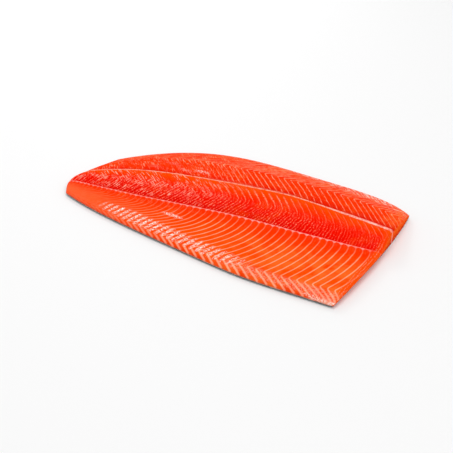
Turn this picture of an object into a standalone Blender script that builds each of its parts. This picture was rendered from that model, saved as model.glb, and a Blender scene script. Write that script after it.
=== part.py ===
"""Raw salmon fillet: a skin-on side portion that lies flat on its skin.

Metres, +Z up. +X runs along the fish from the thin tail end to the thick knife cut. +Y runs
across it, from the dorsal edge at the front to the thin fatty belly edge. The skin rests on
z = 0, and the finished fillet is centred on the origin.
"""
import math

import bmesh
import bpy

MM = 0.001

# Outline, seen from above
LENGTH = 340 * MM
WIDTH = 204 * MM
FRONT_BULGE = 74 * MM      # station where the front edge bulges most
FRONT_BEND = 22 * MM       # softness of the bend there
FRONT_SLOPE_CUT = 0.080    # how fast the front edge draws in on either side of it
FRONT_SLOPE_TAIL = 0.095
FRONT_TUCK = 12 * MM       # and how much more it draws in at the tail end
BACK_BULGE = 50 * MM       # station where the back edge bulges most
BACK_SWEEP_CUT = 23 * MM   # how far the back edge has drawn in at the knife cut
BACK_SWEEP_TAIL = 106 * MM
CUT_BOW_FRONT = 2.8 * MM   # how far the knife cut curves back at its front corner
CUT_BOW_BACK = 4.4 * MM    # and at its back corner
CUT_LEAN = 3.4 * MM        # overhang of the cut's upper edge over the front strip
LEAN_REACH = 40 * MM       # how far back from the cut the flesh leans with it
TAIL_ROUNDING = 13 * MM    # how far the tail end's corners fall back

# Seams between the three muscle strips
LOW_SEAM_Y = -28.0 * MM    # the near seam is a sloping line with one soft swelling
LOW_SEAM_SLOPE = 0.151
LOW_SEAM_SWELL = 5.2 * MM
LOW_SEAM_MIDDLE = 14 * MM
LOW_SEAM_REACH = 73 * MM
HIGH_SEAM_Y = 34.9 * MM    # the far seam bends down on both sides of its furthest point
HIGH_SEAM_BEND = 52 * MM
HIGH_SEAM_DROP_CUT = 5.9 * MM
HIGH_SEAM_DROP = 43 * MM
HIGH_SEAM_DROP_TAIL = 34 * MM

# Heights of the upper surface, each at the knife cut and at the tail end
RIDGE_CUT, RIDGE_TAIL = 6.4 * MM, 4.8 * MM      # behind the front edge
LOW_SEAM_CUT, LOW_SEAM_TAIL = 9.2 * MM, 6.3 * MM
HIGH_SEAM_CUT, HIGH_SEAM_TAIL = 17.2 * MM, 9.2 * MM
BACK_CUT, BACK_TAIL = 6.0 * MM, 4.0 * MM         # at the thin back edge
FRONT_SWELL = 0.7 * MM     # how much each muscle strip is domed
MIDDLE_SWELL = 1.3 * MM
LOW_VALLEY = 1.1 * MM      # step down behind each seam
HIGH_VALLEY = 1.9 * MM
VALLEY_REACH = 7 * MM      # how far a valley takes to fill again
VALLEY_WALL = 0.7 * MM     # how quickly it falls away from the seam

# Rounding of the edges
FRONT_ROUNDING_CUT, FRONT_ROUNDING_TAIL = 15 * MM, 7 * MM
BACK_ROUNDING = 8 * MM
CUT_ROUNDING = 3 * MM
CUT_SOFTENING = 0.12       # share of the height that the rounded upper edge of the cut loses
TAIL_END_ROUNDING = 12 * MM
RIM_HEIGHT = 0.7 * MM      # thickness of the flesh at its very edge

# The skin under the flesh
SKIN = 0.8 * MM
SKIN_GAP = 0.3 * MM
SKIN_CURL = 1.6 * MM       # how far the rim of the skin lifts
CURL_REACH = 24 * MM

# Mesh density
STATIONS = 54
ROWS_FRONT = 14
ROWS_MIDDLE = 10
ROWS_BACK = 12
FLATNESS = math.radians(0.01)   # faces that meet flatter than this become one

FLESH_COLOUR = (0.86, 0.075, 0.012, 1.0)
SKIN_COLOUR = (0.12, 0.13, 0.14, 1.0)


def clear_scene():
    for item in list(bpy.data.objects):
        bpy.data.objects.remove(item, do_unlink=True)


def mix(a, b, t):
    return a + (b - a) * t


def station(x):
    """Place along the fish: 0 at the tail end, 1 at the knife cut."""
    return min(max(x / LENGTH + 0.5, 0.0), 1.0)


# ---- outline and seams, seen from above ----

def front_edge(x):
    """Two almost straight runs that meet in a soft bend where it bulges most."""
    away = math.hypot(x - FRONT_BULGE, FRONT_BEND) - FRONT_BEND
    if x > FRONT_BULGE:
        return -WIDTH / 2 + FRONT_SLOPE_CUT * away
    t = (FRONT_BULGE - x) / (FRONT_BULGE + LENGTH / 2)
    return -WIDTH / 2 + FRONT_SLOPE_TAIL * away + FRONT_TUCK * t ** 6


def back_edge(x):
    """A long curve that sweeps in to the tail end, and a short one to the knife cut."""
    if x < BACK_BULGE:
        t = (BACK_BULGE - x) / (BACK_BULGE + LENGTH / 2)
        return WIDTH / 2 - BACK_SWEEP_TAIL * t ** 3.5
    t = (x - BACK_BULGE) / (LENGTH / 2 - BACK_BULGE)
    return WIDTH / 2 - BACK_SWEEP_CUT * t ** 4.3


def low_seam(x):
    swell = math.exp(-((x - LOW_SEAM_MIDDLE) / LOW_SEAM_REACH) ** 2)
    return LOW_SEAM_Y + LOW_SEAM_SLOPE * x + LOW_SEAM_SWELL * swell


def high_seam(x):
    if x < HIGH_SEAM_BEND:
        t = (HIGH_SEAM_BEND - x) / (HIGH_SEAM_BEND + LENGTH / 2)
        return HIGH_SEAM_Y - HIGH_SEAM_DROP * t ** 1.22 - HIGH_SEAM_DROP_TAIL * t ** 6
    t = (x - HIGH_SEAM_BEND) / (LENGTH / 2 - HIGH_SEAM_BEND)
    return HIGH_SEAM_Y - HIGH_SEAM_DROP_CUT * t ** 1.5


def across(x, row):
    """Depth of a row: 0 front edge, 1 low seam, 2 high seam, 3 back edge."""
    marks = (front_edge(x), low_seam(x), high_seam(x), back_edge(x))
    strip = min(int(row), 2)
    return mix(marks[strip], marks[strip + 1], row - strip)


def end_stations(row):
    """Where a row starts at the tail end and stops at the knife cut."""
    side = 2 * row / 3 - 1
    bow = CUT_BOW_BACK if side > 0 else CUT_BOW_FRONT
    cut = LENGTH / 2 - CUT_LEAN - bow * abs(side) ** 2.2
    tail = -LENGTH / 2 + TAIL_ROUNDING * abs(side) ** 2.6
    return tail, cut


# ---- heights ----

def arch(distance, reach):
    """Quarter-ellipse rounding: 0 at an edge, 1 from reach inwards."""
    t = min(max(distance / reach, 0.0), 1.0)
    return math.sqrt(1 - (1 - t) ** 2)


def valley(distance, depth):
    """Groove behind a seam: a quick step down that fills again slowly."""
    return depth * (1 - math.exp(-distance / VALLEY_WALL)) * math.exp(-distance / VALLEY_REACH)


def seam_heights(x):
    s = station(x)
    ridge = mix(RIDGE_TAIL, RIDGE_CUT, s)
    low = mix(LOW_SEAM_TAIL, LOW_SEAM_CUT, s)
    high = HIGH_SEAM_CUT - (HIGH_SEAM_CUT - HIGH_SEAM_TAIL) * (1 - s) ** 1.6
    back = mix(BACK_TAIL, BACK_CUT, s)
    return ridge, low, high, back


def skin_lift(x, y, from_tail):
    """How far the underside of the skin has left the table."""
    margin = min(y - front_edge(x), back_edge(x) - y, from_tail)
    t = min(max(1 - margin / CURL_REACH, 0.0), 1.0)
    return SKIN_CURL * t ** 2.4


def crown(x, y, row):
    """Height of the three muscle strips, before their outer edges are rounded."""
    ridge, low, high, back = seam_heights(x)
    if row <= 1:
        return mix(ridge, low, row) + FRONT_SWELL * math.sin(math.pi * row)
    if row <= 2:
        swell = MIDDLE_SWELL * math.sin(math.pi * (row - 1))
        return mix(low, high, row - 1) + swell - valley(y - low_seam(x), LOW_VALLEY)
    return mix(high, back, (row - 2) ** 0.9) - valley(y - high_seam(x), HIGH_VALLEY)


def flesh_top(x, y, row, from_tail, from_cut):
    floor = flesh_bottom(x, y, from_tail) + RIM_HEIGHT
    front = mix(FRONT_ROUNDING_TAIL, FRONT_ROUNDING_CUT, station(x) ** 2)
    rounding = arch(y - front_edge(x), front) * arch(back_edge(x) - y, BACK_ROUNDING)
    rounding *= arch(from_tail, TAIL_END_ROUNDING)
    rounding *= mix(1 - CUT_SOFTENING, 1.0, arch(from_cut, CUT_ROUNDING))
    return mix(floor, max(crown(x, y, row), floor), rounding)


def flesh_bottom(x, y, from_tail):
    return skin_lift(x, y, from_tail) + SKIN + SKIN_GAP


def skin_top(x, y, row, from_tail, from_cut):
    return skin_lift(x, y, from_tail) + SKIN


# ---- meshes ----

def eased(count):
    """Fractions from 0 to 1 that crowd together at both ends."""
    return [(1 - math.cos(math.pi * i / count)) / 2 for i in range(count + 1)]


def row_marks():
    rows = [0.0]
    for strip, count in enumerate((ROWS_FRONT, ROWS_MIDDLE, ROWS_BACK)):
        rows += [strip + f for f in eased(count)[1:]]
    return rows


def station_marks():
    """Even stations, with closer ones where the two ends are rounded."""
    marks = [0.0, 0.006, 0.016, 0.032]
    middle = STATIONS - 6
    marks += [mix(0.055, 0.985, i / middle) for i in range(middle + 1)]
    return marks + [0.994, 1.0]


def lean(row, height, from_cut):
    """Slant of the knife cut: its upper edge overhangs the front strip, and less behind it."""
    behind = min(max((2 - row) / 1.2, 0.0), 1.0)
    near_cut = max(1 - from_cut / LEAN_REACH, 0.0)
    return CUT_LEAN * behind * near_cut * min(height / RIDGE_CUT, 1.0)


def slab(name, bottom_height, top_height, slanted):
    """A closed sheet between two height functions over the fillet's outline."""
    rows = row_marks()
    marks = station_marks()
    last_mark, last_row = len(marks) - 1, len(rows) - 1
    work = bmesh.new()
    bmesh.ops.create_grid(work, x_segments=last_mark, y_segments=last_row, size=1)
    grown = bmesh.ops.extrude_face_region(work, geom=work.faces[:])["geom"]
    raised = {item for item in grown if isinstance(item, bmesh.types.BMVert)}

    for vert in work.verts:
        mark = marks[round((vert.co.x + 1) / 2 * last_mark)]
        row = rows[round((vert.co.y + 1) / 2 * last_row)]
        tail, cut = end_stations(row)
        x = mix(tail, cut, mark)
        y = across(x, row)
        if vert in raised:
            z = top_height(x, y, row, x - tail, cut - x)
        else:
            z = bottom_height(x, y, x - tail)
        if slanted:
            x += lean(row, z, cut - x)
        vert.co = (x, y, z)

    bmesh.ops.dissolve_limit(work, angle_limit=FLATNESS, use_dissolve_boundaries=False,
                             verts=work.verts[:], edges=work.edges[:])
    bmesh.ops.recalc_face_normals(work, faces=work.faces[:])
    mesh = bpy.data.meshes.new(name)
    work.to_mesh(mesh)
    work.free()
    return mesh


def material(name, colour, roughness):
    made = bpy.data.materials.new(name)
    made.use_nodes = True
    shader = made.node_tree.nodes["Principled BSDF"]
    shader.inputs["Base Color"].default_value = colour
    shader.inputs["Roughness"].default_value = roughness
    shader.inputs["Metallic"].default_value = 0.0
    return made


def add_piece(name, mesh, finish, collection):
    piece = bpy.data.objects.new(name, mesh)
    mesh.materials.append(finish)
    mesh.shade_smooth()
    mesh.set_sharp_from_angle(angle=math.radians(40))
    collection.objects.link(piece)
    return piece


def centre(pieces):
    """Move the finished pieces so that their common box stands centred on the origin."""
    points = [v.co for piece in pieces for v in piece.data.vertices]
    shift_x = (min(p.x for p in points) + max(p.x for p in points)) / 2
    shift_y = (min(p.y for p in points) + max(p.y for p in points)) / 2
    for point in points:
        point.x -= shift_x
        point.y -= shift_y


def build():
    clear_scene()
    fillet = bpy.data.collections.new("salmon_fillet")
    bpy.context.scene.collection.children.link(fillet)

    flesh_mesh = slab("flesh", flesh_bottom, flesh_top, slanted=True)
    flesh = add_piece("flesh", flesh_mesh, material("salmon_flesh", FLESH_COLOUR, 0.32), fillet)

    skin_mesh = slab("skin", skin_lift, skin_top, slanted=False)
    skin = add_piece("skin", skin_mesh, material("salmon_skin", SKIN_COLOUR, 0.4), fillet)
    centre((flesh, skin))


build()
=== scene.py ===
import math

import bpy
import numpy as np
from mathutils import Matrix, Vector, noise


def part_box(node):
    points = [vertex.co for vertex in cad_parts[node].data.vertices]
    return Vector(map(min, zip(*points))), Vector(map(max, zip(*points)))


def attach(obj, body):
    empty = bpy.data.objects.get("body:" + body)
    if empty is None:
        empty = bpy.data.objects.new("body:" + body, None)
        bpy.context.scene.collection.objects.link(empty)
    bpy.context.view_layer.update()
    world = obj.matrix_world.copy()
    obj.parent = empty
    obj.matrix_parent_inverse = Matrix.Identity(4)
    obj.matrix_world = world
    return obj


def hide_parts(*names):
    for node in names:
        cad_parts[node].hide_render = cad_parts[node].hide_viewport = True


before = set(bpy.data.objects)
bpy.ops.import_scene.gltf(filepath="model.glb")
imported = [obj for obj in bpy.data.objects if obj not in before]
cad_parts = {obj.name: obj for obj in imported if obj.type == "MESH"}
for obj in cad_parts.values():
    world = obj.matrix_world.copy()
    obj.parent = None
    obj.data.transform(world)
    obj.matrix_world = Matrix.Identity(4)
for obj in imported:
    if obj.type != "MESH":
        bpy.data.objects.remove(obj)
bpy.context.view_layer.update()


# ---- flesh ----
# One side of raw salmon, cut square at the thick end and tapering to the tail. Three muscle
# strips meet at two pale seams, and each strip is built of flakes parted by thin sheets of
# connective tissue. The knife has left it smooth and wet, and the skin holds it underneath.

MM = 0.001
LENGTH = 340.0           # in millimetres, as are all lengths of this section
WIDTH = 204.0
FRONT_BEND = 74.0        # where the front edge starts to draw in towards the cut
BACK_WIDEST = 50.0       # where the back edge bulges most
SEAM_CREST = 52.0        # where the high seam lies furthest back
SKIN, SKIN_GAP, SKIN_CURL, CURL_REACH = 0.8, 0.3, 1.6, 24.0
RIM_HEIGHT = 0.7         # thickness of the flesh at its rim
CUT_LEAN, LEAN_REACH = 3.4, 40.0
CUT_INSET = 1.1          # how far the cut's upper edge is rounded back

# heights of the upper surface at the tail and at the cut, from the front edge to the back one
RIDGE_TAIL, RIDGE_CUT = 4.8, 6.4
LOW_SEAM_TAIL, LOW_SEAM_CUT = 6.3, 9.2
HIGH_SEAM_DROP, HIGH_SEAM_CUT = 8.0, 17.2
BACK_TAIL, BACK_CUT = 4.0, 6.0
LOW_VALLEY, HIGH_VALLEY = 1.1, 1.9       # depth of the hollow behind each seam


def mix(a, b, t):
    return a + (b - a) * t


def ramp(value, low, high):
    """0 below low, 1 above high, with a soft start and stop between them."""
    t = np.clip((value - low) / (high - low), 0.0, 1.0)
    return t * t * (3 - 2 * t)


def window(value, start, full, still, stop):
    """1 between full and still, and 0 outside start and stop."""
    return ramp(value, start, full) * (1 - ramp(value, still, stop))


def hump(value, centre, reach):
    return np.exp(-((value - centre) / reach) ** 2)


def front_edge(x):
    softness = 22.0
    away = np.hypot(x - FRONT_BEND, softness) - softness
    to_tail = np.clip((FRONT_BEND - x) / (FRONT_BEND + LENGTH / 2), 0.0, None)
    return -WIDTH / 2 + np.where(x > FRONT_BEND, 0.080 * away, 0.095 * away + 12.0 * to_tail ** 6)


def back_edge(x):
    to_tail = np.clip((BACK_WIDEST - x) / (BACK_WIDEST + LENGTH / 2), 0.0, None)
    to_cut = np.clip((x - BACK_WIDEST) / (LENGTH / 2 - BACK_WIDEST), 0.0, None)
    return WIDTH / 2 - 106.0 * to_tail ** 3.5 - 23.0 * to_cut ** 4.3


def low_seam(x):
    return -28.0 + 0.151 * x + 5.2 * hump(x, 14.0, 73.0)


def high_seam(x):
    to_tail = np.clip((SEAM_CREST - x) / (SEAM_CREST + LENGTH / 2), 0.0, None)
    to_cut = np.clip((x - SEAM_CREST) / (LENGTH / 2 - SEAM_CREST), 0.0, None)
    return 34.9 - 43.0 * to_tail ** 1.22 - 34.0 * to_tail ** 6 - 5.9 * to_cut ** 1.5


def across(x, row):
    """Depth of a row: 0 front edge, 1 low seam, 2 high seam, 3 back edge."""
    marks = (front_edge(x), low_seam(x), high_seam(x), back_edge(x))
    front = mix(marks[0], marks[1], row)
    middle = mix(marks[1], marks[2], row - 1)
    back = mix(marks[2], marks[3], row - 2)
    return np.where(row <= 1, front, np.where(row <= 2, middle, back))


def tail_and_cut(row):
    """Where a row starts at the tail and where it ends at the cut."""
    side = 2 * row / 3 - 1
    bow = np.where(side > 0, 4.4, 2.8)
    cut = LENGTH / 2 - CUT_LEAN - bow * np.abs(side) ** 2.2
    tail = -LENGTH / 2 + 13.0 * np.abs(side) ** 2.6
    return tail, cut


def arch(distance, reach):
    """A quarter round: 0 at the edge, 1 from reach on."""
    t = np.clip(distance / reach, 0.0, 1.0)
    return np.sqrt(1 - (1 - t) ** 2)


def valley(distance, depth):
    """Depth of the hollow behind a seam: a steep start and a long way out."""
    away = np.clip(distance, 0.0, None)
    return depth * (1 - np.exp(-away / 0.7)) * np.exp(-away / 7.0)


def skin_lift(x, y, from_tail):
    margin = np.minimum(np.minimum(y - front_edge(x), back_edge(x) - y), from_tail)
    return SKIN_CURL * np.clip(1 - margin / CURL_REACH, 0.0, 1.0) ** 2.4


def flesh_top(x, y, row, from_tail, from_cut):
    """Height of the upper surface, before the relief of the flakes."""
    s = np.clip(x / LENGTH + 0.5, 0.0, 1.0)
    ridge = mix(RIDGE_TAIL, RIDGE_CUT, s)
    low = mix(LOW_SEAM_TAIL, LOW_SEAM_CUT, s)
    high = HIGH_SEAM_CUT - HIGH_SEAM_DROP * (1 - s) ** 1.6
    back = mix(BACK_TAIL, BACK_CUT, s)
    front_crown = mix(ridge, low, row) + 0.7 * np.sin(np.pi * np.clip(row, 0, 1))
    middle_crown = mix(low, high, row - 1) + 1.3 * np.sin(np.pi * np.clip(row - 1, 0, 1))
    middle_crown -= valley(y - low_seam(x), LOW_VALLEY)
    back_crown = mix(high, back, np.clip(row - 2, 0, 1) ** 0.9)
    back_crown -= valley(y - high_seam(x), HIGH_VALLEY)
    crown = np.where(row <= 1, front_crown, np.where(row <= 2, middle_crown, back_crown))
    floor = skin_lift(x, y, from_tail) + SKIN + SKIN_GAP + RIM_HEIGHT
    rounding = arch(y - front_edge(x), mix(7.0, 15.0, s ** 2)) * arch(back_edge(x) - y, 8.0)
    rounding = rounding * arch(from_tail, 12.0) * mix(0.88, 1.0, arch(from_cut, 3.0))
    return mix(floor, np.maximum(crown, floor), rounding)


def lean(row, height, from_cut):
    """How far the upper part of the flesh leans out at the cut."""
    behind = np.clip((2 - row) / 1.2, 0.0, 1.0)
    near_cut = np.clip(1 - from_cut / LEAN_REACH, 0.0, 1.0)
    return CUT_LEAN * behind * near_cut * np.clip(height / RIDGE_CUT, 0.0, 1.0)


# Each strip counts its flakes along the fish: the sheets between them lie where the count is
# whole. A sheet keeps one bent course across its strip, so the count at a point is that of
# the place where the sheet through it starts.

def bent(first, second, bluntness):
    """The greater of two courses, with a rounded bend where they cross."""
    return np.logaddexp(first / bluntness, second / bluntness) * bluntness


def counted(x, course, count):
    """Follow the sheet through x back to its start, and count the flakes to there."""
    start = x
    for _ in range(10):
        start = x - course(start)
    return count(start)


def front_count(x, y):
    depth = low_seam(x) - y
    share = np.clip(depth / (low_seam(x) - front_edge(x)), 0.0, 1.0)

    def course(start):
        sweep = 27.0 + 0.0265 * np.clip(145.0 - start, 0.0, 250.0) ** 1.5
        upper = -sweep * np.clip(share - 0.2, 0, 1) ** 2
        upper = upper - 3.3 * np.clip(1 - share / 0.16, 0, 1) ** 2
        tip = 0.925 - 0.105 * ramp(start, 15.0, 160.0)
        turn = -sweep * (tip - 0.2) ** 2
        lower = turn + mix(128.0, 62.0, ramp(start, 135.0, 185.0)) * (share - tip)
        return bent(upper, lower, 0.8)

    pitch, first = 7.25, 54.6
    return counted(x, course, lambda start: (start - first) / pitch + 5e-7 * (start - first) ** 3)


def middle_count(x, y):
    width = high_seam(x) - low_seam(x)
    bend = low_seam(x) + 0.46 * width

    def course(start):
        rise = y - bend
        lower_lean = mix(0.42, -0.02, ramp(start, 30.0, 125.0))
        return -bent(0.95 * rise, -lower_lean * rise, 3.2)

    def count(start):
        """Even flakes, closer together from 108 mm on towards the cut."""
        pitch = 8.13
        return start / pitch + 0.80 + 2.6e-4 * np.clip(start - 108.0, 0, None) ** 2

    return counted(x, course, count)


def back_count(x, y):
    width = back_edge(x) - high_seam(x)
    share = (y - high_seam(x)) / width

    def course(start):
        tip = 0.61 + 0.06 * ramp(-start, 0.0, 90.0)
        upper = -0.80 * share * width - 6.0 * share ** 2
        turn = -0.80 * tip * width - 6.0 * tip ** 2
        lower = turn + 1.6 * (share - tip) * width
        return bent(upper, lower, 1.8)

    def count(start):
        """The flakes are widest at one place and even away from it."""
        pitch, widest, reach = 6.55, 100.0, 39.5
        return start / pitch - 1.545 * np.tanh((start - widest) / reach) - 0.055

    return counted(x, course, count)


def spacing(count, x, y):
    """Distance between two sheets, square to them."""
    step = 0.05
    fewest = 0.04
    along = (count(x + step, y) - count(x - step, y)) / (2 * step)
    aside = (count(x, y + step) - count(x, y - step)) / (2 * step)
    return 1 / np.maximum(np.hypot(along, aside), fewest)


def rough(x, y, stretch, size, seed):
    """Soft noise between -1 and 1 whose grains are size wide and stretch times as long in y."""
    places = np.stack([x / size, y / (size * stretch)], axis=-1).reshape(-1, 2)
    values = [noise.noise(Vector((across_x, along_y, seed))) for across_x, along_y in places]
    return np.array(values).reshape(x.shape)


def strip_rows():
    """Rows from the front edge to the back one, closer together beside the seams."""
    rows = [np.zeros(1)]
    for strip, count in enumerate((86, 60, 70)):
        even = np.linspace(0, 1, count + 1)[1:]
        rows.append(strip + mix(even, (1 - np.cos(np.pi * even)) / 2, 0.6))
    return np.concatenate(rows)


STATIONS = 396           # points from the tail to the cut, on each row
CUT_LEVELS = 13          # rows of points down the cut
UNDER_ROWS = (0.0, 0.03, 0.1, 0.22, 0.5, 1.0, 1.5, 2.0, 2.5, 2.75, 2.9, 2.97, 3.0)

rows = strip_rows()
marks = np.linspace(0, 1, STATIONS + 1)
marks = mix(marks, (1 - np.cos(np.pi * marks)) / 2, 0.2)
mark, row = np.meshgrid(marks, rows, indexing="ij")
tail, cut = tail_and_cut(row)
x = mix(tail, cut - CUT_INSET, mark)
y = across(x, row)

in_front = row <= 1
in_back = row > 2
in_middle = ~in_front & ~in_back
front_share = np.clip(1 - row, 0, 1)
middle_share = np.clip(row - 1, 0, 1)
back_share = np.clip(row - 2, 0, 1)
from_front = y - front_edge(x)
from_back = back_edge(x) - y
past_low = y - low_seam(x)
past_high = y - high_seam(x)
counts = [front_count(x, y), middle_count(x, y), back_count(x, y)]
gaps = [spacing(front_count, x, y), spacing(middle_count, x, y), spacing(back_count, x, y)]

# how plainly each strip's sheets show
front_lines = mix(0.2, 1.0, ramp(x, -130.0, 35.0)) * mix(0.22, 1.0, ramp(front_share, 0.02, 0.38))
middle_lines = window(middle_share, 0.38, 0.6, 0.8, 0.95) * mix(0.08, 1.0, ramp(x, -45.0, 25.0))
middle_lines = middle_lines * mix(0.88, 0.44, ramp(x, 20.0, 120.0))
back_lines = ramp(back_share, 0.03, 0.16) * mix(0.12, 0.85, ramp(x, -75.0, 0.0))
back_lines = back_lines * mix(1.0, 0.9, ramp(back_share, 0.58, 0.72))
back_lines = back_lines * (1 + 0.45 * hump(back_share, 0.62, 0.06)) * mix(1.0, 0.78, ramp(x, 40.0, 130.0))
back_lines = np.maximum(back_lines, hump(back_share, 0.60, 0.10) * ramp(x, -135.0, -80.0))

# wet specks: a row of short ridges along the front edge, and patches the knife has lifted; their pale
# colour is painted glint
RIDGE_PITCH = 7.3
ridge_count = (x - 0.29 * (y + 83.0)) / RIDGE_PITCH
ridges = 0.5 + 0.5 * np.cos(2 * np.pi * ridge_count)
zone_back = mix(-77.0, -66.0, ramp(-x, -60.0, 80.0))
ridge_zone = ramp(from_front, 2.0, 7.0) * ramp(zone_back - y, 0.0, 8.0)
ridge_zone = ridge_zone * window(x, -122.0, -90.0, 30.0, 95.0)
tip_zone = window(from_front, 1.5, 4.0, 12.0, 18.0) * window(x, 20.0, 70.0, 158.0, 168.0)
WET_PATCHES = (          # where, how far along and across, and how wet
    (-56, 33, 11, 4, 0.6), (-95, 35, 14, 5, 0.25), (-75, 27, 12, 4, 0.3), (-107, 18, 12, 5, 0.2),
    (-79, -17, 15, 8, 0.12), (-46, -17, 15, 8, 0.14), (-35, -54.5, 13, 2.4, 1.0),
    (164, -97, 7, 4, 1.2), (146, -96, 16, 2.5, 0.55),
)
patches = np.zeros(x.shape)
for patch_x, patch_y, along, aside, wet in WET_PATCHES:
    away = np.hypot((x - patch_x) / along, (y - patch_y) / aside)
    patches = np.maximum(patches, wet * (1 - ramp(away, 0.3, 1.3)))
pearls = rough(x, y, 1.2, 1.7, 9.0)
ridge_wet = ridge_zone * (0.04 + 0.96 * ramp(ridges, 0.25, 0.8)) * np.clip(0.85 + 0.5 * pearls, 0, 1)
wet = np.maximum(np.maximum(ridge_wet * in_front, 0.24 * tip_zone * in_front), patches)

# relief: a groove along each sheet, beaded stripes in the middle strip, ridges and specks
SWELL, GROOVE, STRIPE, FUZZ = 0.16, 0.16, 0.2, 0.18
BACK_FUZZ, RIDGE, SPECK, MOST = 0.12, 0.42, 0.14, 0.45
fuzz = rough(counts[1] * 7.7, y, 2.6, 1.4, 1.0)
swell = rough(x, y, 1.0, 26.0, 5.0)
relief = SWELL * swell
nearest = [np.abs(c - np.round(c)) * g for c, g in zip(counts, gaps)]
relief = relief - in_front * GROOVE * hump(nearest[0], 0.0, 0.9) * front_lines
stripe = 0.5 + 0.5 * np.cos(2 * np.pi * counts[1])
lower_half = 1 - ramp(middle_share, 0.35, 0.65)
middle_relief = -STRIPE * stripe ** 1.5 * (0.35 + 0.65 * lower_half) + FUZZ * fuzz
relief = relief + in_middle * middle_relief * ramp(past_low, 0.0, 2.0)
back_fuzz = rough(x + 0.5 * y, y, 2.0, 1.6, 13.0)
back_relief = -GROOVE * hump(nearest[2], 0.0, 1.1) * back_lines + BACK_FUZZ * back_fuzz
relief = relief + in_back * back_relief * ramp(past_high, 0.0, 2.5)
relief = relief + RIDGE * ridge_zone * ridges * in_front + wet * SPECK * pearls
relief = relief * np.minimum(arch(from_front, 4.0), arch(from_back, 5.0)) * arch(x - tail, 8.0)
relief = np.minimum(relief, MOST)

from_cut = cut - x
top = flesh_top(x, y, row, x - tail, from_cut)
floor = skin_lift(x, y, x - tail) + SKIN + SKIN_GAP
CUT_DROP, THINNEST = 0.9, 0.25
top = top - CUT_DROP * (1 - arch(from_cut - CUT_INSET, 3.5)) * ramp(top - floor, 1.0, 4.0)
z = np.maximum(top + relief, floor + THINNEST)


def cut_column(level):
    """The knife cut from its upper edge, level 0, down to the skin, level 1."""
    tall = z[-1] - floor[-1]
    height = mix(z[-1], floor[-1], level)
    shiver = 0.16 * rough(y[-1], height, 0.6, 3.0, 21.0) * np.sin(np.pi * level)
    rounded = CUT_INSET * (1 - arch(level * tall, 1.8))
    across_cut = cut[-1] - rounded + lean(row[-1], height, 0.0) + shiver
    return np.stack([across_cut, y[-1], height], axis=-1)


top_points = np.stack([x + lean(row, z, from_cut - CUT_INSET), y, z], axis=-1)
levels = np.linspace(0, 1, CUT_LEVELS + 1)[1:] ** 1.3
cut_points = np.stack([cut_column(level) for level in levels], axis=0)

under_index = [int(np.argmin(np.abs(rows - r))) for r in UNDER_ROWS]
under_points = np.stack([x + lean(row, floor, from_cut), y, floor], axis=-1)

STATION_COUNT, ROW_COUNT = x.shape
top_index = np.arange(STATION_COUNT * ROW_COUNT).reshape(STATION_COUNT, ROW_COUNT)
cut_index = top_index.size + np.arange(CUT_LEVELS * ROW_COUNT).reshape(CUT_LEVELS, ROW_COUNT)
cut_index = np.concatenate([top_index[-1:], cut_index])
next_free = int(cut_index.max()) + 1

# The underside has few rows, but its tail end carries every point of the wall there. At the
# cut it shares the lowest points of the knife cut.
under = {}
under_list = []
under_at = []
for i in range(STATION_COUNT - 1):
    wanted = range(ROW_COUNT) if i == 0 else under_index
    for j in wanted:
        under[(i, j)] = next_free + len(under_list)
        under_list.append(under_points[i, j])
        under_at.append((i, j))
under_i, under_j = np.array(under_at).T
on_wall = (under_i == 0) | (under_j == 0) | (under_j == ROW_COUNT - 1)
for j in range(ROW_COUNT):
    under[(STATION_COUNT - 1, j)] = int(cut_index[-1, j])

faces = []
for sheet in (top_index, cut_index):
    corners = (sheet[:-1, :-1], sheet[1:, :-1], sheet[1:, 1:], sheet[:-1, 1:])
    faces += np.stack(corners, axis=-1).reshape(-1, 4).tolist()
for i in range(STATION_COUNT - 1):
    for j, turn in ((0, 1), (ROW_COUNT - 1, -1)):
        wall = [int(top_index[i, j]), under[(i, j)], under[(i + 1, j)], int(top_index[i + 1, j])]
        faces.append(wall[::turn])
    for a, b in zip(under_index[:-1], under_index[1:]):
        near = range(a, b + 1) if i == 0 else (a, b)
        far = range(b, a - 1, -1) if i == STATION_COUNT - 2 else (b, a)
        faces.append([under[(i, j)] for j in near] + [under[(i + 1, j)] for j in far])
for j in range(ROW_COUNT - 1):
    faces.append([int(top_index[0, j]), int(top_index[0, j + 1]), under[(0, j + 1)], under[(0, j)]])

points = np.concatenate([top_points.reshape(-1, 3), cut_points.reshape(-1, 3),
                         np.array(under_list)])
flesh_low, flesh_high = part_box("flesh")
points[:, 0] += flesh_low[0] / MM - points[:, 0].min()
points[:, 1] += flesh_low[1] / MM - points[:, 1].min()
for axis in range(3):
    points[:, axis] = np.clip(points[:, axis], flesh_low[axis] / MM, flesh_high[axis] / MM)

flesh_mesh = bpy.data.meshes.new("flesh_flakes")
flesh_mesh.from_pydata((points * MM).tolist(), [], faces)


def spread(field, below=0.0):
    """A field for every vertex: the top's own, carried down the cut and the walls, one below."""
    cut_values = np.repeat(field[-1][None], CUT_LEVELS, axis=0).ravel()
    under_values = np.where(on_wall, field[under_i, under_j], below)
    return np.concatenate([field.ravel(), cut_values, under_values])


def store(mesh, name, fields):
    """A vector attribute from up to three lists of values, which the material reads."""
    made = mesh.attributes.new(name, "FLOAT_VECTOR", "POINT")
    values = np.zeros((len(fields[0]), 3), np.float32)
    values[:, :len(fields)] = np.stack(fields, axis=-1)
    made.data.foreach_set("vector", values.ravel())


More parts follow.
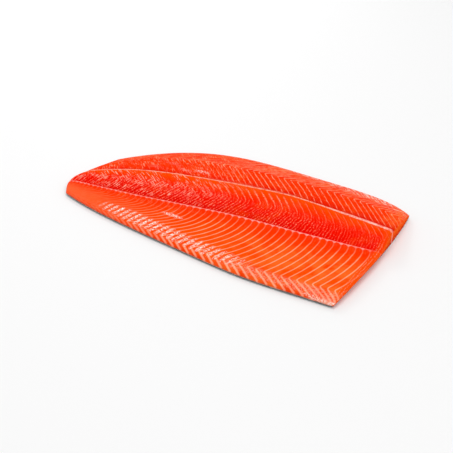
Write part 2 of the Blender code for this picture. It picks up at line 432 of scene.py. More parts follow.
store(flesh_mesh, "flakes", [spread(c, 0.5) for c in counts])
store(flesh_mesh, "gaps", [spread(g, 8.0) for g in gaps])
store(flesh_mesh, "lines", [spread(s) for s in (front_lines, middle_lines, back_lines)])
below_cut = np.concatenate([np.zeros(top_index.size), np.repeat(levels, ROW_COUNT),
                            np.where(on_wall, 0.0, 1.0)])
station_share = np.clip(x / LENGTH + 0.5, 0, 1)
store(flesh_mesh, "place", [spread(station_share, 0.5), spread(row, 1.5), below_cut])

# dark valleys behind the seams, which is painted shade of the hollows, fat towards the back edge, and the
# wet specks, whose pale colour is partly painted glint
low_valley_shade = in_middle * np.exp(-np.clip(past_low, 0, None) / 8.0)
low_valley_shade = low_valley_shade * window(x, -165.0, -110.0, 30.0, 150.0)
high_valley_shade = in_back * np.exp(-np.clip(past_high - 1.0, 0, None) / 7.0)
fat_width = mix(4.0, 15.0, ramp(x, -10.0, 120.0))
fat = (1 - ramp(from_back, 0.3 * fat_width, 1.35 * fat_width)) * mix(0.25, 1.0, ramp(x, -60.0, 80.0))
store(flesh_mesh, "tones", [spread(np.maximum(low_valley_shade, high_valley_shade)), spread(fat * in_back),
                            spread(wet)])
store(flesh_mesh, "edges", [spread(from_cut), spread(from_front, 20.0)])

# pale bands of tissue on the seams, beaded where the sheets of the front strip run in
bead = np.clip(1 - 3.2 * np.abs(counts[0] - np.round(counts[0])), 0, 1)
band_front = 0.9 + bead * mix(1.3, 2.4, ramp(x, -90.0, 0.0)) + 0.2 * (1 - ramp(x, -60.0, -30.0))
low_band = window(past_low, -band_front - 0.5, -band_front + 0.2, 0.4, 1.0)
low_band = low_band * mix(0.45 + 0.55 * bead, 0.7 + 0.3 * bead, ramp(x, -90.0, -20.0))
low_band = low_band * mix(1.0, 0.35, ramp(from_cut, 24.0, 6.0))
wide = ramp(x, 70.0, 130.0)
high_band = window(past_high, mix(-2.0, -3.6, wide), mix(-1.0, -2.2, wide), mix(0.8, 1.8, wide),
                   mix(2.0, 3.6, wide))
behind = 0.32 * window(past_high, 0.5, 1.5, 3.0, 6.0) * window(x, -50.0, -20.0, 30.0, 70.0)
red_core = hump(past_high, -0.2, 0.6) * ramp(x, 80.0, 110.0)
store(flesh_mesh, "seams", [spread(low_band), spread(np.maximum(high_band, behind)),
                            spread(red_core)])

flesh_mesh.shade_smooth()
flesh = bpy.data.objects.new("flesh_flakes", flesh_mesh)
bpy.context.scene.collection.objects.link(flesh)


def seen(red, green, blue):
    """A colour as it looks in even light, 0 to 255 a channel, in a shader's own units."""
    parts = [v / 255 for v in (red, green, blue)]
    return (*[p / 12.92 if p < 0.04045 else ((p + 0.055) / 1.055) ** 2.4 for p in parts], 1.0)


def add_node(tree, kind, inputs=(), **settings):
    """Add a shader node. An input is a socket to link from, or a plain value."""
    made = tree.nodes.new("ShaderNode" + kind)
    for name, value in settings.items():
        setattr(made, name, value)
    for socket, value in dict(inputs).items():
        if isinstance(value, bpy.types.NodeSocket):
            tree.links.new(value, made.inputs[socket])
        else:
            made.inputs[socket].default_value = value
    return made


def calc(tree, operation, *values, clamp=False):
    """One sum on sockets or plain values."""
    made = add_node(tree, "Math", dict(enumerate(values)), operation=operation, use_clamp=clamp)
    return made.outputs[0]


def product(tree, first, *others):
    for other in others:
        first = calc(tree, "MULTIPLY", first, other)
    return first


def fade(tree, value, start, stop):
    """0 where value is at start, 1 where it is at stop, and a soft step between."""
    made = add_node(tree, "MapRange", {0: value, 1: start, 2: stop, 3: 0.0, 4: 1.0},
                    interpolation_type="SMOOTHSTEP", clamp=True)
    return made.outputs[0]


def blend_colour(tree, share, under, over):
    made = add_node(tree, "Mix", {0: share, 6: under, 7: over}, data_type="RGBA",
                    clamp_factor=True)
    return made.outputs[2]


def grain(tree, where, scale, detail=2.0, roughness=0.55):
    made = add_node(tree, "TexNoise", {"Vector": where, "Scale": scale, "Detail": detail,
                                       "Roughness": roughness})
    return made.outputs["Fac"]


def wet_film_group():
    """A film of water: smoother and glossier where it stands, with a soft swell."""
    group = bpy.data.node_groups.new("wet_film", "ShaderNodeTree")
    for name in ("Dryness", "Wetness"):
        group.interface.new_socket(name, in_out="INPUT", socket_type="NodeSocketFloat")
    for name in ("Roughness", "Height", "Gloss"):
        group.interface.new_socket(name, in_out="OUTPUT", socket_type="NodeSocketFloat")
    start = group.nodes.new("NodeGroupInput")
    end = group.nodes.new("NodeGroupOutput")
    where = add_node(group, "TexCoord").outputs["Object"]
    pools = grain(group, where, 90.0)
    ripples = grain(group, where, 520.0, detail=3.0)
    wetness = start.outputs["Wetness"]
    matt = calc(group, "MULTIPLY_ADD", pools, 0.24, start.outputs["Dryness"])
    matt = calc(group, "MULTIPLY_ADD", wetness, -0.3, matt)
    group.links.new(calc(group, "MAXIMUM", matt, 0.1), end.inputs["Roughness"])
    swell_part = calc(group, "MULTIPLY_ADD", ripples, calc(group, "MULTIPLY_ADD", wetness, 0.3, 0.2),
                      product(group, pools, 0.5))
    group.links.new(swell_part, end.inputs["Height"])
    gloss = product(group, wetness, fade(group, ripples, 0.42, 0.62), 0.6)
    group.links.new(gloss, end.inputs["Gloss"])
    return group


wet_film = wet_film_group()
flesh_material = bpy.data.materials.new("salmon_flesh")
flesh_material.use_nodes = True
tree = flesh_material.node_tree
shader = tree.nodes["Principled BSDF"]


def read(tree, name):
    """The three values of a stored attribute."""
    vector = add_node(tree, "Attribute", attribute_name=name).outputs["Vector"]
    return add_node(tree, "SeparateXYZ", {0: vector}).outputs


flakes, gap, line = read(tree, "flakes"), read(tree, "gaps"), read(tree, "lines")
station, strip, depth = read(tree, "place")
valley_shade_tone, fat_tone, wet_and_glint_tone = read(tree, "tones")
low_tissue, high_tissue, core = read(tree, "seams")
to_cut, to_front = read(tree, "edges")[:2]
here = add_node(tree, "TexCoord").outputs["Object"]
here_x, here_y, here_z = add_node(tree, "SeparateXYZ", {0: here}).outputs

# ground colour of the muscle, from the front edge to the back one; the darker first stop paints the shade
# where the front edge rounds under, and the darker stops just past each seam paint the shade of the
# hollow behind it
STRIP_COLOURS = (
    (0.00, (236, 56, 4)), (0.05, (250, 72, 4)), (0.30, (254, 74, 0)), (0.60, (253, 62, 0)),
    (0.90, (252, 46, 0)), (0.998, (250, 48, 0)), (1.004, (236, 8, 0)), (1.14, (246, 14, 0)),
    (1.34, (251, 22, 0)), (1.52, (253, 32, 0)), (1.72, (254, 56, 0)), (1.90, (254, 72, 0)),
    (1.985, (254, 74, 0)), (2.004, (236, 34, 0)), (2.12, (250, 42, 0)), (2.35, (253, 52, 0)),
    (2.62, (254, 50, 0)), (3.00, (252, 76, 22)),
)
ground = add_node(tree, "ValToRGB", {0: calc(tree, "DIVIDE", strip, 3.0)})
stops = ground.color_ramp.elements
while len(stops) < len(STRIP_COLOURS):
    stops.new(0.5)
for stop, (position, shown) in zip(stops, STRIP_COLOURS):
    stop.position = position / 3.0
    stop.color = seen(*shown)
colour = ground.outputs["Color"]

is_front = calc(tree, "LESS_THAN", strip, 1.0)
is_back = calc(tree, "GREATER_THAN", strip, 2.0)
is_middle = calc(tree, "SUBTRACT", 1.0, calc(tree, "ADD", is_front, is_back))
clouds = grain(tree, here, 60.0, detail=3.0)
tailward = fade(tree, station, 0.56, 0.30)
cutward = fade(tree, station, 0.66, 0.88)

glow = product(tree, is_front, fade(tree, station, 0.42, 0.85), fade(tree, strip, 0.85, 0.45),
               fade(tree, clouds, 0.36, 0.62), 0.7)
colour = blend_colour(tree, glow, colour, seen(255, 112, 40))

corner_fat = product(tree, fade(tree, station, 0.90, 0.975), fade(tree, to_front, 5.0, 1.0), 0.55)
colour = blend_colour(tree, corner_fat, colour, seen(255, 186, 160))


def drawn_out(which, across_scale, along_scale, seed):
    """Fibres drawn out along one strip's sheets."""
    where = add_node(tree, "CombineXYZ", {0: product(tree, flakes[which], across_scale),
                                          1: product(tree, strip, along_scale), 2: seed})
    return grain(tree, where.outputs[0], 1.0, detail=3.0, roughness=0.6)


middle_fibres = drawn_out(1, 5.5, 15.0, 3.0)
back_fibres = drawn_out(2, 3.9, 12.0, 8.0)
front_fibres = drawn_out(0, 4.0, 9.0, 5.0)
beads = grain(tree, here, 620.0, detail=2.0)
fine_beads = grain(tree, here, 1150.0, detail=1.0)
patchy = grain(tree, here, 190.0, detail=2.0)

DEEP_RED = seen(214, 0, 0)
LIGHT_ORANGE = seen(255, 96, 10)
TISSUE = seen(255, 176, 140)
# painted shade: the hollows behind the seams are deepened to dark red, darker still behind the high seam
# from the middle on towards the cut
painted_valley_shade = product(tree, valley_shade_tone, calc(tree, "MULTIPLY_ADD", patchy, 0.5, 0.6))
colour = blend_colour(tree, painted_valley_shade, colour, DEEP_RED)
deep_end_shade = product(tree, painted_valley_shade, is_back, fade(tree, station, 0.42, 0.6), 0.6)
colour = blend_colour(tree, deep_end_shade, colour, seen(188, 0, 0))
colour = blend_colour(tree, product(tree, fade(tree, clouds, 0.45, 0.8), 0.3), colour, LIGHT_ORANGE)


def turns(which, per_flake, wobble, offset=0.0):
    """A wave from -1 to 1 that comes round so many times in each flake."""
    angle = calc(tree, "MULTIPLY_ADD", flakes[which], 2 * math.pi * per_flake, offset)
    angle = calc(tree, "ADD", angle, calc(tree, "MULTIPLY_ADD", patchy, wobble, -wobble / 2))
    return calc(tree, "COSINE", angle)


def sheet_lines(which, half_width, softness, wobble):
    """Distance to one strip's nearest sheet, and the mask of its line."""
    count = calc(tree, "ADD", flakes[which], calc(tree, "MULTIPLY_ADD", patchy, wobble, -wobble / 2))
    past_sheet = calc(tree, "SUBTRACT", count, calc(tree, "ROUND", count))
    nearest_sheet = calc(tree, "ABSOLUTE", past_sheet)
    distance = product(tree, nearest_sheet, gap[which])
    return distance, product(tree, fade(tree, distance, half_width + softness, half_width * 0.4),
                             line[which])


# front strip: clear pale lines, each with a soft light side
front_distance, front_mask = sheet_lines(0, 0.26, 0.6, 0.10)
arm_mask = fade(tree, product(tree, front_distance, 0.55), 0.86, 0.1)
arm_mask = product(tree, arm_mask, line[0], fade(tree, strip, 0.2, 0.1), 0.85)
front_mask = calc(tree, "MAXIMUM", front_mask, arm_mask)
front_halo = product(tree, fade(tree, front_distance, 2.4, 0.2), line[0], is_front, 0.22)
colour = blend_colour(tree, front_halo, colour, LIGHT_ORANGE)
front_streak = product(tree, fade(tree, front_fibres, 0.5, 0.66), is_front,
                       calc(tree, "MULTIPLY_ADD", tailward, 0.2, 0.08))
colour = blend_colour(tree, front_streak, colour, seen(255, 132, 84))
front_mask = product(tree, front_mask, is_front, calc(tree, "MULTIPLY_ADD", clouds, 1.3, 0.22))


def combed(lean_back, across_scale, along_scale, seed):
    """Streaks that lean so far back along the fish for each step across it."""
    level_x = calc(tree, "MULTIPLY_ADD", here_y, lean_back, here_x)
    where = add_node(tree, "CombineXYZ", {0: product(tree, level_x, across_scale),
                                          1: product(tree, here_y, along_scale), 2: seed})
    return grain(tree, where.outputs[0], 1.0, detail=2.0)


# middle strip: fine beaded stripes below, broken lines above, curls towards the tail: pale tissue with
# painted glints
lower_part = product(tree, fade(tree, strip, 1.66, 1.36), is_middle)
upper_part = product(tree, fade(tree, strip, 1.40, 1.62), is_middle)
broad = turns(1, 1.0, 3.0)
coarse = turns(1, 2.0, 6.0)
fine = calc(tree, "SUBTRACT", turns(1, 2.6, 9.0), coarse)
fine = calc(tree, "MULTIPLY_ADD", fine, fade(tree, station, 0.5, 0.66), coarse)
bead_mask = fade(tree, beads, 0.42, 0.60)
fine_mask = fade(tree, fine_beads, 0.47, 0.60)
colour = blend_colour(tree, product(tree, fade(tree, broad, 0.3, -0.7), lower_part, 0.15), colour,
                      DEEP_RED)
colour = blend_colour(tree, product(tree, fade(tree, fine, 0.1, -0.8), lower_part, 0.26), colour,
                      DEEP_RED)
fine_bright = product(tree, fade(tree, fine, 0.4, 0.95), lower_part,
                      calc(tree, "MULTIPLY_ADD", bead_mask, 0.9, 0.1))
fine_bright = product(tree, fine_bright, calc(tree, "MULTIPLY_ADD", cutward, -0.26, 0.5))
colour = blend_colour(tree, fine_bright, colour, seen(255, 110, 72))
dots = product(tree, fine_mask, lower_part, bead_mask, fade(tree, fine, -0.1, 0.8))
dots = product(tree, dots, calc(tree, "MULTIPLY_ADD", cutward, -0.36, 0.68))
colour = blend_colour(tree, dots, colour, seen(255, 160, 128))
dark_fibre = product(tree, fade(tree, middle_fibres, 0.47, 0.30), is_middle)
colour = blend_colour(tree, product(tree, dark_fibre, 0.3), colour, seen(232, 4, 0))
steep = fade(tree, combed(-0.2, 760.0, 105.0, 2.0), 0.555, 0.62)
shallow_comb = combed(1.5, 500.0, 130.0, 4.0)
shallow = fade(tree, shallow_comb, 0.55, 0.61)
patch_share = product(tree, fade(tree, clouds, 0.32, 0.52), fade(tree, patchy, 0.34, 0.5))
curl_and_glint = calc(tree, "MAXIMUM", product(tree, steep, fade(tree, strip, 1.72, 1.5)),
            product(tree, shallow, fade(tree, strip, 1.3, 1.55)))
curl_and_glint = product(tree, curl_and_glint, patch_share, is_middle, fade(tree, strip, 1.02, 1.18))
curl_and_glint = product(tree, curl_and_glint, calc(tree, "MULTIPLY_ADD", tailward, 0.74, 0.06))
comb_gap = fade(tree, shallow_comb, 0.48, 0.38)
comb_gap = product(tree, comb_gap, is_middle, tailward, fade(tree, strip, 1.75, 1.3), 0.55)
colour = blend_colour(tree, comb_gap, colour, seen(228, 10, 0))
colour = blend_colour(tree, curl_and_glint, colour, seen(255, 180, 156))
# pale curls in the back strip towards the tail: tissue with painted glints
back_curl_and_glint = product(tree, fade(tree, combed(0.9, 640.0, 110.0, 6.0), 0.55, 0.61), patch_share,
                    is_back, fade(tree, strip, 2.02, 2.12),
                    calc(tree, "MULTIPLY_ADD", tailward, 0.5, 0.06))
colour = blend_colour(tree, back_curl_and_glint, colour, seen(255, 168, 132))
middle_distance, middle_mask = sheet_lines(1, 0.2, 0.5, 0.34)
# painted shade: a darker red flank on one side of each line in the upper half
beside = turns(1, 1.0, 1.0, -0.9)
colour = blend_colour(tree, product(tree, fade(tree, beside, 0.3, 1.0), upper_part, 0.22), colour,
                      seen(232, 24, 0))
dashes = product(tree, fade(tree, middle_distance, 1.6, 0.2), fade(tree, strip, 1.55, 1.68),
                 fade(tree, strip, 1.92, 1.8), fade(tree, beads, 0.42, 0.56),
                 fade(tree, station, 0.36, 0.42), fade(tree, station, 0.74, 0.62), 0.55)
colour = blend_colour(tree, dashes, colour, seen(255, 152, 118))
middle_mask = product(tree, middle_mask, is_middle, calc(tree, "MULTIPLY_ADD", beads, 2.2, -0.5),
                      calc(tree, "MULTIPLY_ADD", clouds, 1.2, 0.2))

# back strip: finer lines below its fold and fuzzy ones above
back_streak = product(tree, fade(tree, back_fibres, 0.5, 0.68), is_back,
                      calc(tree, "MULTIPLY_ADD", bead_mask, 0.26, 0.04))
colour = blend_colour(tree, back_streak, colour, seen(255, 132, 84))
back_dark = product(tree, fade(tree, back_fibres, 0.48, 0.3), is_back)
colour = blend_colour(tree, product(tree, back_dark, 0.35), colour, seen(232, 8, 0))
fold_part = product(tree, fade(tree, strip, 2.54, 2.66), is_back)
back_turn = turns(2, 0.7, 2.4)
arm_streaks = drawn_out(2, 1.9, 3.0, 31.0)
arm_dark = product(tree, fade(tree, arm_streaks, 0.52, 0.40), fold_part, 0.85)
colour = blend_colour(tree, arm_dark, colour, seen(236, 16, 0))
arm_beads = product(tree, fade(tree, back_turn, 0.3, 0.95), fade(tree, beads, 0.34, 0.56))
arm = calc(tree, "MAXIMUM", arm_beads, fade(tree, arm_streaks, 0.54, 0.64))
colour = blend_colour(tree, product(tree, arm, fold_part, 0.38), colour, seen(255, 138, 92))
arm_fuzz = product(tree, fine_mask, fade(tree, patchy, 0.44, 0.58), fold_part, 0.18)
colour = blend_colour(tree, arm_fuzz, colour, seen(255, 152, 120))
back_mask = sheet_lines(2, 0.2, 0.55, 0.34)[1]
back_mask = product(tree, back_mask, is_back, calc(tree, "MULTIPLY_ADD", patchy, 2.6, -0.6))
lines_all = calc(tree, "ADD", front_mask, calc(tree, "ADD", middle_mask, back_mask), clamp=True)
colour = blend_colour(tree, product(tree, lines_all, 0.9), colour, TISSUE)

# fat marbled towards the back edge
slanted = calc(tree, "MULTIPLY_ADD", here_y, 0.9, here_x)
marble_place = add_node(tree, "CombineXYZ", {0: product(tree, slanted, 330.0),
                                             1: product(tree, here_y, 90.0)})
marble = fade(tree, grain(tree, marble_place.outputs[0], 1.0, detail=3.0), 0.43, 0.60)
marble = product(tree, marble, fade(tree, arm_streaks, 0.40, 0.54))
marble_mask = product(tree, calc(tree, "MULTIPLY_ADD", marble, 0.95, 0.04), fat_tone)
colour = blend_colour(tree, marble_mask, colour, seen(255, 206, 192))

# painted glints: pale specks where the surface is lifted and wet
painted_glint_fleck = calc(tree, "MULTIPLY_ADD", is_front, 0.035, grain(tree, here, 680.0, detail=2.0))
painted_glint_fleck = product(tree, fade(tree, painted_glint_fleck, 0.48, 0.60), fade(tree, wet_and_glint_tone, 0.05, 0.7))
colour = blend_colour(tree, painted_glint_fleck, colour, seen(255, 212, 198))

# bands of tissue on the seams
seam_grain = calc(tree, "MULTIPLY_ADD", beads, 3.2, calc(tree, "MULTIPLY_ADD", patchy, 2.4, -1.9))
colour = blend_colour(tree, product(tree, low_tissue, seam_grain), colour, seen(255, 156, 148))
high_colour = blend_colour(tree, cutward, seen(255, 168, 142), seen(255, 190, 176))
colour = blend_colour(tree, product(tree, high_tissue, seam_grain), colour, high_colour)
colour = blend_colour(tree, product(tree, core, 0.6), colour, seen(236, 50, 30))

# beside the cut the sheets are smeared along its edge
by_cut = product(tree, fade(tree, to_cut, 8.5, 2.5), fade(tree, strip, 0.06, 0.2),
                 fade(tree, strip, 2.0, 1.9))
by_cut_share = calc(tree, "MULTIPLY_ADD", is_front, 0.3, 0.55)
colour = blend_colour(tree, product(tree, by_cut, by_cut_share), colour, seen(254, 78, 6))
belly_end = product(tree, fade(tree, to_cut, 26.0, 4.0), is_back, fade(tree, strip, 2.02, 2.4),
                    fade(tree, patchy, 0.3, 0.6), 0.7)
colour = blend_colour(tree, belly_end, colour, seen(255, 108, 44))
smear = calc(tree, "ADD", to_cut, calc(tree, "MULTIPLY", patchy, 2.4))
smear = fade(tree, calc(tree, "PINGPONG", smear, 1.3), 0.75, 1.2)
smear = product(tree, smear, by_cut, bead_mask, fade(tree, strip, 1.9, 0.9))
colour = blend_colour(tree, product(tree, smear, 0.7), colour, TISSUE)

# the knife cut: darker towards the skin as painted shade, streaked, with the tissue of both seams running
# down
cut_place = add_node(tree, "CombineXYZ", {0: product(tree, here_y, 260.0),
                                          1: product(tree, here_z, 500.0)})
cut_grain = grain(tree, cut_place.outputs[0], 1.0, detail=4.0, roughness=0.6)
cut_colour = blend_colour(tree, fade(tree, depth, 0.25, 1.0), seen(255, 88, 12), seen(214, 48, 4))
cut_colour = blend_colour(tree, product(tree, fade(tree, cut_grain, 0.5, 0.7), 0.45), cut_colour,
                          seen(255, 140, 96))
seam_down = calc(tree, "ABSOLUTE", calc(tree, "SUBTRACT", strip, 2.0))
cut_colour = blend_colour(tree, fade(tree, seam_down, 0.022, 0.008), cut_colour, seen(255, 196, 184))
low_down = calc(tree, "ABSOLUTE", calc(tree, "SUBTRACT", strip, 1.0))
cut_colour = blend_colour(tree, product(tree, fade(tree, low_down, 0.016, 0.006), 0.5), cut_colour,
                          seen(255, 170, 150))
on_cut = product(tree, fade(tree, depth, 0.0, 0.12), calc(tree, "LESS_THAN", depth, 0.999))
colour = blend_colour(tree, on_cut, colour, cut_colour)

tree.links.new(colour, shader.inputs["Base Color"])
film = add_node(tree, "Group", {}, node_tree=wet_film)
film.inputs["Dryness"].default_value = 0.34
tree.links.new(wet_and_glint_tone, film.inputs["Wetness"])
tree.links.new(film.outputs["Roughness"], shader.inputs["Roughness"])
tree.links.new(film.outputs["Gloss"], shader.inputs["Coat Weight"])
fibre_height = calc(tree, "ADD", product(tree, middle_fibres, is_middle, 0.6),
                    product(tree, back_fibres, is_back, 0.6))
fibre_height = calc(tree, "ADD", fibre_height, product(tree, front_fibres, is_front, 0.25))
height = calc(tree, "ADD", fibre_height, film.outputs["Height"])
bump = add_node(tree, "Bump", {"Strength": 0.5, "Distance": 0.0006, "Height": height})
tree.links.new(bump.outputs["Normal"], shader.inputs["Normal"])
shader.inputs["Subsurface Weight"].default_value = 0.1
shader.inputs["Subsurface Radius"].default_value = (1.0, 0.25, 0.12)
shader.inputs["Subsurface Scale"].default_value = 0.0015
shader.inputs["Specular IOR Level"].default_value = 0.0
shader.inputs["Coat Roughness"].default_value = 0.1
flesh_mesh.materials.append(flesh_material)

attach(flesh, "root")
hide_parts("flesh")


# ---- skin ----
# The scaled skin that the side was left on: thin, tough and wet. It lies flat under the flesh
# and curls up a little around the rim. It is dark blue-grey towards the back of the fish, then
# silver, and white at the belly, and its scales overlap towards the tail.

SCALE_LENGTH, SCALE_WIDTH = 5.4, 4.4
SCALE_REACH = 4.6        # radius of a whole scale, most of it under the ones before it
SCALE_RISE = 0.16        # how far a scale's free edge stands out
SCALE_SWAY = 1.4         # how far the rows of scales wander
ROW_LEAN = 0.12          # and how much they lean
SKIN_STATIONS, SKIN_ROWS = 350, 216

skin_mark, skin_row = np.meshgrid(np.linspace(0, 1, SKIN_STATIONS + 1),
                                  np.linspace(0, 3, SKIN_ROWS + 1), indexing="ij")
skin_tail, skin_cut = tail_and_cut(skin_row)
skin_x = mix(skin_tail, skin_cut, skin_mark)
skin_y = across(skin_x, skin_row)
bend_x = skin_x + SCALE_SWAY * rough(skin_x, skin_y, 1.0, 22.0, 33.0)
bend_y = skin_y - ROW_LEAN * skin_x + SCALE_SWAY * rough(skin_x, skin_y, 1.0, 24.0, 41.0)


def laid_scales(along, aside):
    """At each point the scale on top: how far its free edge is, and a tone of its own."""
    best = np.full(along.shape, -1e9)
    to_edge = np.full(along.shape, 1.0)
    tone = np.zeros(along.shape)
    for stagger in (0.0, 0.5):
        base_i = np.round(along / SCALE_LENGTH - stagger)
        base_j = np.round(aside / SCALE_WIDTH - stagger)
        for step_i in (-1, 0, 1):
            for step_j in (-1, 0, 1):
                i, j = base_i + step_i, base_j + step_j
                centre_x = (i + stagger) * SCALE_LENGTH
                away = np.hypot(along - centre_x, aside - (j + stagger) * SCALE_WIDTH)
                on_top = (away < SCALE_REACH) & (centre_x > best)
                best = np.where(on_top, centre_x, best)
                to_edge = np.where(on_top, 1 - away / SCALE_REACH, to_edge)
                own = np.sin(12.99 * (i + stagger) + 78.23 * (j + stagger)) * 43758.5
                tone = np.where(on_top, own - np.floor(own), tone)
    return best - along, to_edge, tone


behind_centre, to_edge, scale_tone = laid_scales(bend_x, bend_y)
rise = np.clip((behind_centre + SCALE_REACH) / (2 * SCALE_REACH), 0, 1)
skin_margin = np.minimum(np.minimum(skin_y - front_edge(skin_x), back_edge(skin_x) - skin_y),
                         np.minimum(skin_x - skin_tail, skin_cut - skin_x))
lift = skin_lift(skin_x, skin_y, skin_x - skin_tail)
hollow = SCALE_RISE * (1 - rise) * ramp(skin_margin, 0.5, 4.0)
outside = np.stack([skin_x, skin_y, lift + hollow], axis=-1)
inside = np.stack([skin_x, skin_y, lift + SKIN], axis=-1)[::2, ::2]

outer_index = np.arange(skin_x.size).reshape(skin_x.shape)
inner_index = skin_x.size + np.arange(inside.shape[0] * inside.shape[1]).reshape(inside.shape[:2])
skin_faces = []
for sheet, order in ((outer_index, (0, 1, 2, 3)), (inner_index, (0, 3, 2, 1))):
    corners = (sheet[:-1, :-1], sheet[:-1, 1:], sheet[1:, 1:], sheet[1:, :-1])
    skin_faces += np.stack([corners[k] for k in order], axis=-1).reshape(-1, 4).tolist()
for outer_rim, inner_rim, turn in ((outer_index[:, 0], inner_index[:, 0], 1),
                                   (outer_index[-1], inner_index[-1], 1),
                                   (outer_index[:, -1], inner_index[:, -1], -1),
                                   (outer_index[0], inner_index[0], -1)):
    for k in range(len(inner_rim) - 1):
        wall = [*outer_rim[2 * k:2 * k + 3].tolist(), int(inner_rim[k + 1]), int(inner_rim[k])]
        skin_faces.append(wall[::turn])

skin_points = np.concatenate([outside.reshape(-1, 3), inside.reshape(-1, 3)])
skin_low, skin_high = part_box("skin")
for axis in range(3):
    shift = skin_low[axis] / MM - skin_points[:, axis].min()
    skin_points[:, axis] = np.clip(skin_points[:, axis] + shift, skin_low[axis] / MM,
                                   skin_high[axis] / MM)
skin_mesh = bpy.data.meshes.new("scaled_skin")
skin_mesh.from_pydata((skin_points * MM).tolist(), [], skin_faces)


def skin_field(field, inner=None):
    """The outer side's own values, then the inner side's."""
    under_it = field[::2, ::2].ravel() if inner is None else np.full(inside[..., 0].size, inner)
    return np.concatenate([field.ravel(), under_it])


store(skin_mesh, "scales", [skin_field(scale_tone), skin_field(to_edge)])
side_line = skin_y - mix(low_seam(skin_x), high_seam(skin_x), 0.45)
store(skin_mesh, "skin_place", [skin_field(skin_row / 3), skin_field(side_line),
                                skin_field(np.zeros(skin_x.shape), 1.0)])
skin_mesh.shade_smooth()
skin = bpy.data.objects.new("scaled_skin", skin_mesh)
bpy.context.scene.collection.objects.link(skin)

skin_material = bpy.data.materials.new("salmon_skin")
skin_material.use_nodes = True
skin_tree = skin_material.node_tree
skin_shader = skin_tree.nodes["Principled BSDF"]
tone_here, edge_here = read(skin_tree, "scales")[:2]
back_to_belly, line_away, inner_side = read(skin_tree, "skin_place")
skin_here = add_node(skin_tree, "TexCoord").outputs["Object"]
skin_clouds = grain(skin_tree, skin_here, 42.0, detail=3.0)
skin_grains = grain(skin_tree, skin_here, 900.0, detail=2.0)
skin_blotches = grain(skin_tree, skin_here, 260.0)

SKIN_COLOURS = (
    (0.00, (34, 42, 46)), (0.10, (44, 58, 64)), (0.26, (78, 98, 106)), (0.38, (132, 150, 158)),
    (0.55, (186, 194, 198)), (0.76, (214, 215, 213)), (1.00, (230, 226, 218)),
)
shade_sway = calc(skin_tree, "MULTIPLY_ADD", skin_clouds, 0.16, -0.08)
shaded = add_node(skin_tree, "ValToRGB", {0: calc(skin_tree, "ADD", back_to_belly, shade_sway)})
skin_stops = shaded.color_ramp.elements
while len(skin_stops) < len(SKIN_COLOURS):
    skin_stops.new(0.5)
for stop, (position, shown) in zip(skin_stops, SKIN_COLOURS):
    stop.position = position
    stop.color = seen(*shown)
skin_colour = shaded.outputs["Color"]
sheen_pink = product(skin_tree, fade(skin_tree, skin_clouds, 0.48, 0.7),
                     fade(skin_tree, back_to_belly, 0.25, 0.5), 0.3)
skin_colour = blend_colour(skin_tree, sheen_pink, skin_colour, seen(206, 178, 188))
skin_colour = blend_colour(skin_tree, product(skin_tree, tone_here, 0.3), skin_colour,
                           seen(112, 128, 134))
scale_rim = fade(skin_tree, edge_here, 0.22, 0.04)
skin_colour = blend_colour(skin_tree, product(skin_tree, scale_rim, 0.5), skin_colour,
                           seen(52, 62, 68))
shine_spot = product(skin_tree, fade(skin_tree, edge_here, 0.3, 0.6),
                     fade(skin_tree, back_to_belly, 0.15, 0.5), 0.3)
skin_colour = blend_colour(skin_tree, shine_spot, skin_colour, seen(236, 240, 240))

# the side line, a row of pores, and the dark spots above it
line_mask = fade(skin_tree, calc(skin_tree, "ABSOLUTE", line_away), 0.9, 0.3)
skin_colour = blend_colour(skin_tree, product(skin_tree, line_mask, 0.6), skin_colour,
                           seen(70, 82, 88))
spot_place = add_node(skin_tree, "TexVoronoi", {"Vector": skin_here, "Scale": 62.0}, feature="F1")
spot_size = calc(skin_tree, "MULTIPLY_ADD", grain(skin_tree, skin_here, 300.0), 0.16, -0.08)
spots = fade(skin_tree, calc(skin_tree, "ADD", spot_place.outputs["Distance"], spot_size), 0.2, 0.12)
spots = product(skin_tree, spots, fade(skin_tree, back_to_belly, 0.46, 0.3),
                fade(skin_tree, skin_clouds, 0.36, 0.5))
skin_colour = blend_colour(skin_tree, product(skin_tree, spots, 0.85), skin_colour,
                           seen(18, 20, 22))

# the inner side, and the rim that shows round the flesh: grey, with spots of pale fat
pale_fat = product(skin_tree, fade(skin_tree, inner_side, 0.25, 0.7),
                   calc(skin_tree, "MULTIPLY_ADD", fade(skin_tree, skin_blotches, 0.40, 0.62),
                        0.5, 0.5))
skin_colour = blend_colour(skin_tree, pale_fat, skin_colour, seen(232, 160, 134))

skin_tree.links.new(skin_colour, skin_shader.inputs["Base Color"])
skin_film = add_node(skin_tree, "Group", {}, node_tree=wet_film)
skin_film.inputs["Dryness"].default_value = 0.26
skin_tree.links.new(fade(skin_tree, skin_blotches, 0.30, 0.64), skin_film.inputs["Wetness"])
skin_tree.links.new(skin_film.outputs["Roughness"], skin_shader.inputs["Roughness"])
skin_tree.links.new(skin_film.outputs["Gloss"], skin_shader.inputs["Coat Weight"])
silver = product(skin_tree, fade(skin_tree, back_to_belly, 0.18, 0.5),
                 fade(skin_tree, inner_side, 0.3, 0.0), 0.45)
skin_tree.links.new(silver, skin_shader.inputs["Metallic"])
skin_height = calc(skin_tree, "MULTIPLY_ADD", fade(skin_tree, edge_here, 0.0, 0.25), 0.7,
                   product(skin_tree, skin_grains, 0.3))
skin_height = calc(skin_tree, "ADD", skin_height, product(skin_tree, skin_film.outputs["Height"], 0.3))
skin_height = calc(skin_tree, "SUBTRACT", skin_height, product(skin_tree, line_mask, 0.6))
skin_bump = add_node(skin_tree, "Bump", {"Strength": 0.6, "Distance": 0.0003,
                                        "Height": skin_height})
skin_tree.links.new(skin_bump.outputs["Normal"], skin_shader.inputs["Normal"])
skin_shader.inputs["Coat Roughness"].default_value = 0.12
skin_mesh.materials.append(skin_material)

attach(skin, "root")
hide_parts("skin")


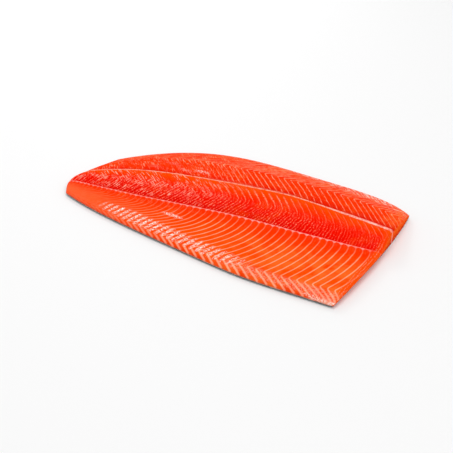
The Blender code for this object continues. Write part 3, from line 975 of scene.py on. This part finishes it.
# ---- floor, light and camera ----
# A pale seamless floor under soft studio light: a large light above, a small one from behind
# that brings out the wet specks, and a weak one in front. The camera looks down from the front,
# a little from the cut's side.

FLOOR_REACH = 6
SENSOR, LENS = 36.0, 73.26               # in millimetres

stage_mesh = bpy.data.meshes.new("floor")
floor_corners = [(FLOOR_REACH * side_x, FLOOR_REACH * side_y, 0)
                 for side_x, side_y in ((-1, -1), (1, -1), (1, 1), (-1, 1))]
stage_mesh.from_pydata(floor_corners, [], [(0, 1, 2, 3)])
floor_object = bpy.data.objects.new("floor", stage_mesh)
bpy.context.scene.collection.objects.link(floor_object)
floor_material = bpy.data.materials.new("pale_floor")
floor_material.use_nodes = True
floor_shader = floor_material.node_tree.nodes["Principled BSDF"]
floor_shader.inputs["Base Color"].default_value = (0.90, 0.90, 0.90, 1.0)
floor_shader.inputs["Roughness"].default_value = 0.7
stage_mesh.materials.append(floor_material)

world = bpy.data.worlds.new("studio")
world.use_nodes = True
world.node_tree.nodes["Background"].inputs["Color"].default_value = (1.0, 1.0, 1.0, 1.0)
world.node_tree.nodes["Background"].inputs["Strength"].default_value = 0.75
bpy.context.scene.world = world
bpy.context.scene.view_settings.view_transform = "Standard"


def softbox(name, place, size, power):
    """A square light that faces the fillet."""
    light = bpy.data.lights.new(name, "AREA")
    light.shape = "SQUARE"
    light.size = size
    light.energy = power
    holder = bpy.data.objects.new(name, light)
    holder.location = place
    holder.rotation_euler = (-Vector(place)).to_track_quat("-Z", "Y").to_euler()
    bpy.context.scene.collection.objects.link(holder)


softbox("key_light", (-0.90, 0.85, 0.62), 0.22, 2.6)
softbox("fill_light", (1.0, -0.6, 1.1), 0.8, 2.0)
softbox("top_light", (-0.1, 0.0, 1.75), 1.0, 7.5)

TARGET = Vector((0.02015, -0.0398, 0.0054))
DISTANCE = 0.91125
AZIMUTH, ELEVATION, ROLL = math.radians(30.95), math.radians(31.89), math.radians(1.60)
back = Vector((math.sin(AZIMUTH) * math.cos(ELEVATION), -math.cos(AZIMUTH) * math.cos(ELEVATION),
               math.sin(ELEVATION)))
right = Vector((math.cos(AZIMUTH), math.sin(AZIMUTH), 0.0))
up = back.cross(right)
rolled_right = right * math.cos(ROLL) + up * math.sin(ROLL)
rolled_up = up * math.cos(ROLL) - right * math.sin(ROLL)
camera_data = bpy.data.cameras.new("camera")
camera_data.sensor_width = SENSOR
camera_data.lens = LENS
camera = bpy.data.objects.new("camera", camera_data)
turn_matrix = Matrix((rolled_right, rolled_up, back)).transposed()
camera.matrix_world = Matrix.Translation(TARGET + back * DISTANCE) @ turn_matrix.to_4x4()
bpy.context.scene.collection.objects.link(camera)
bpy.context.scene.camera = camera
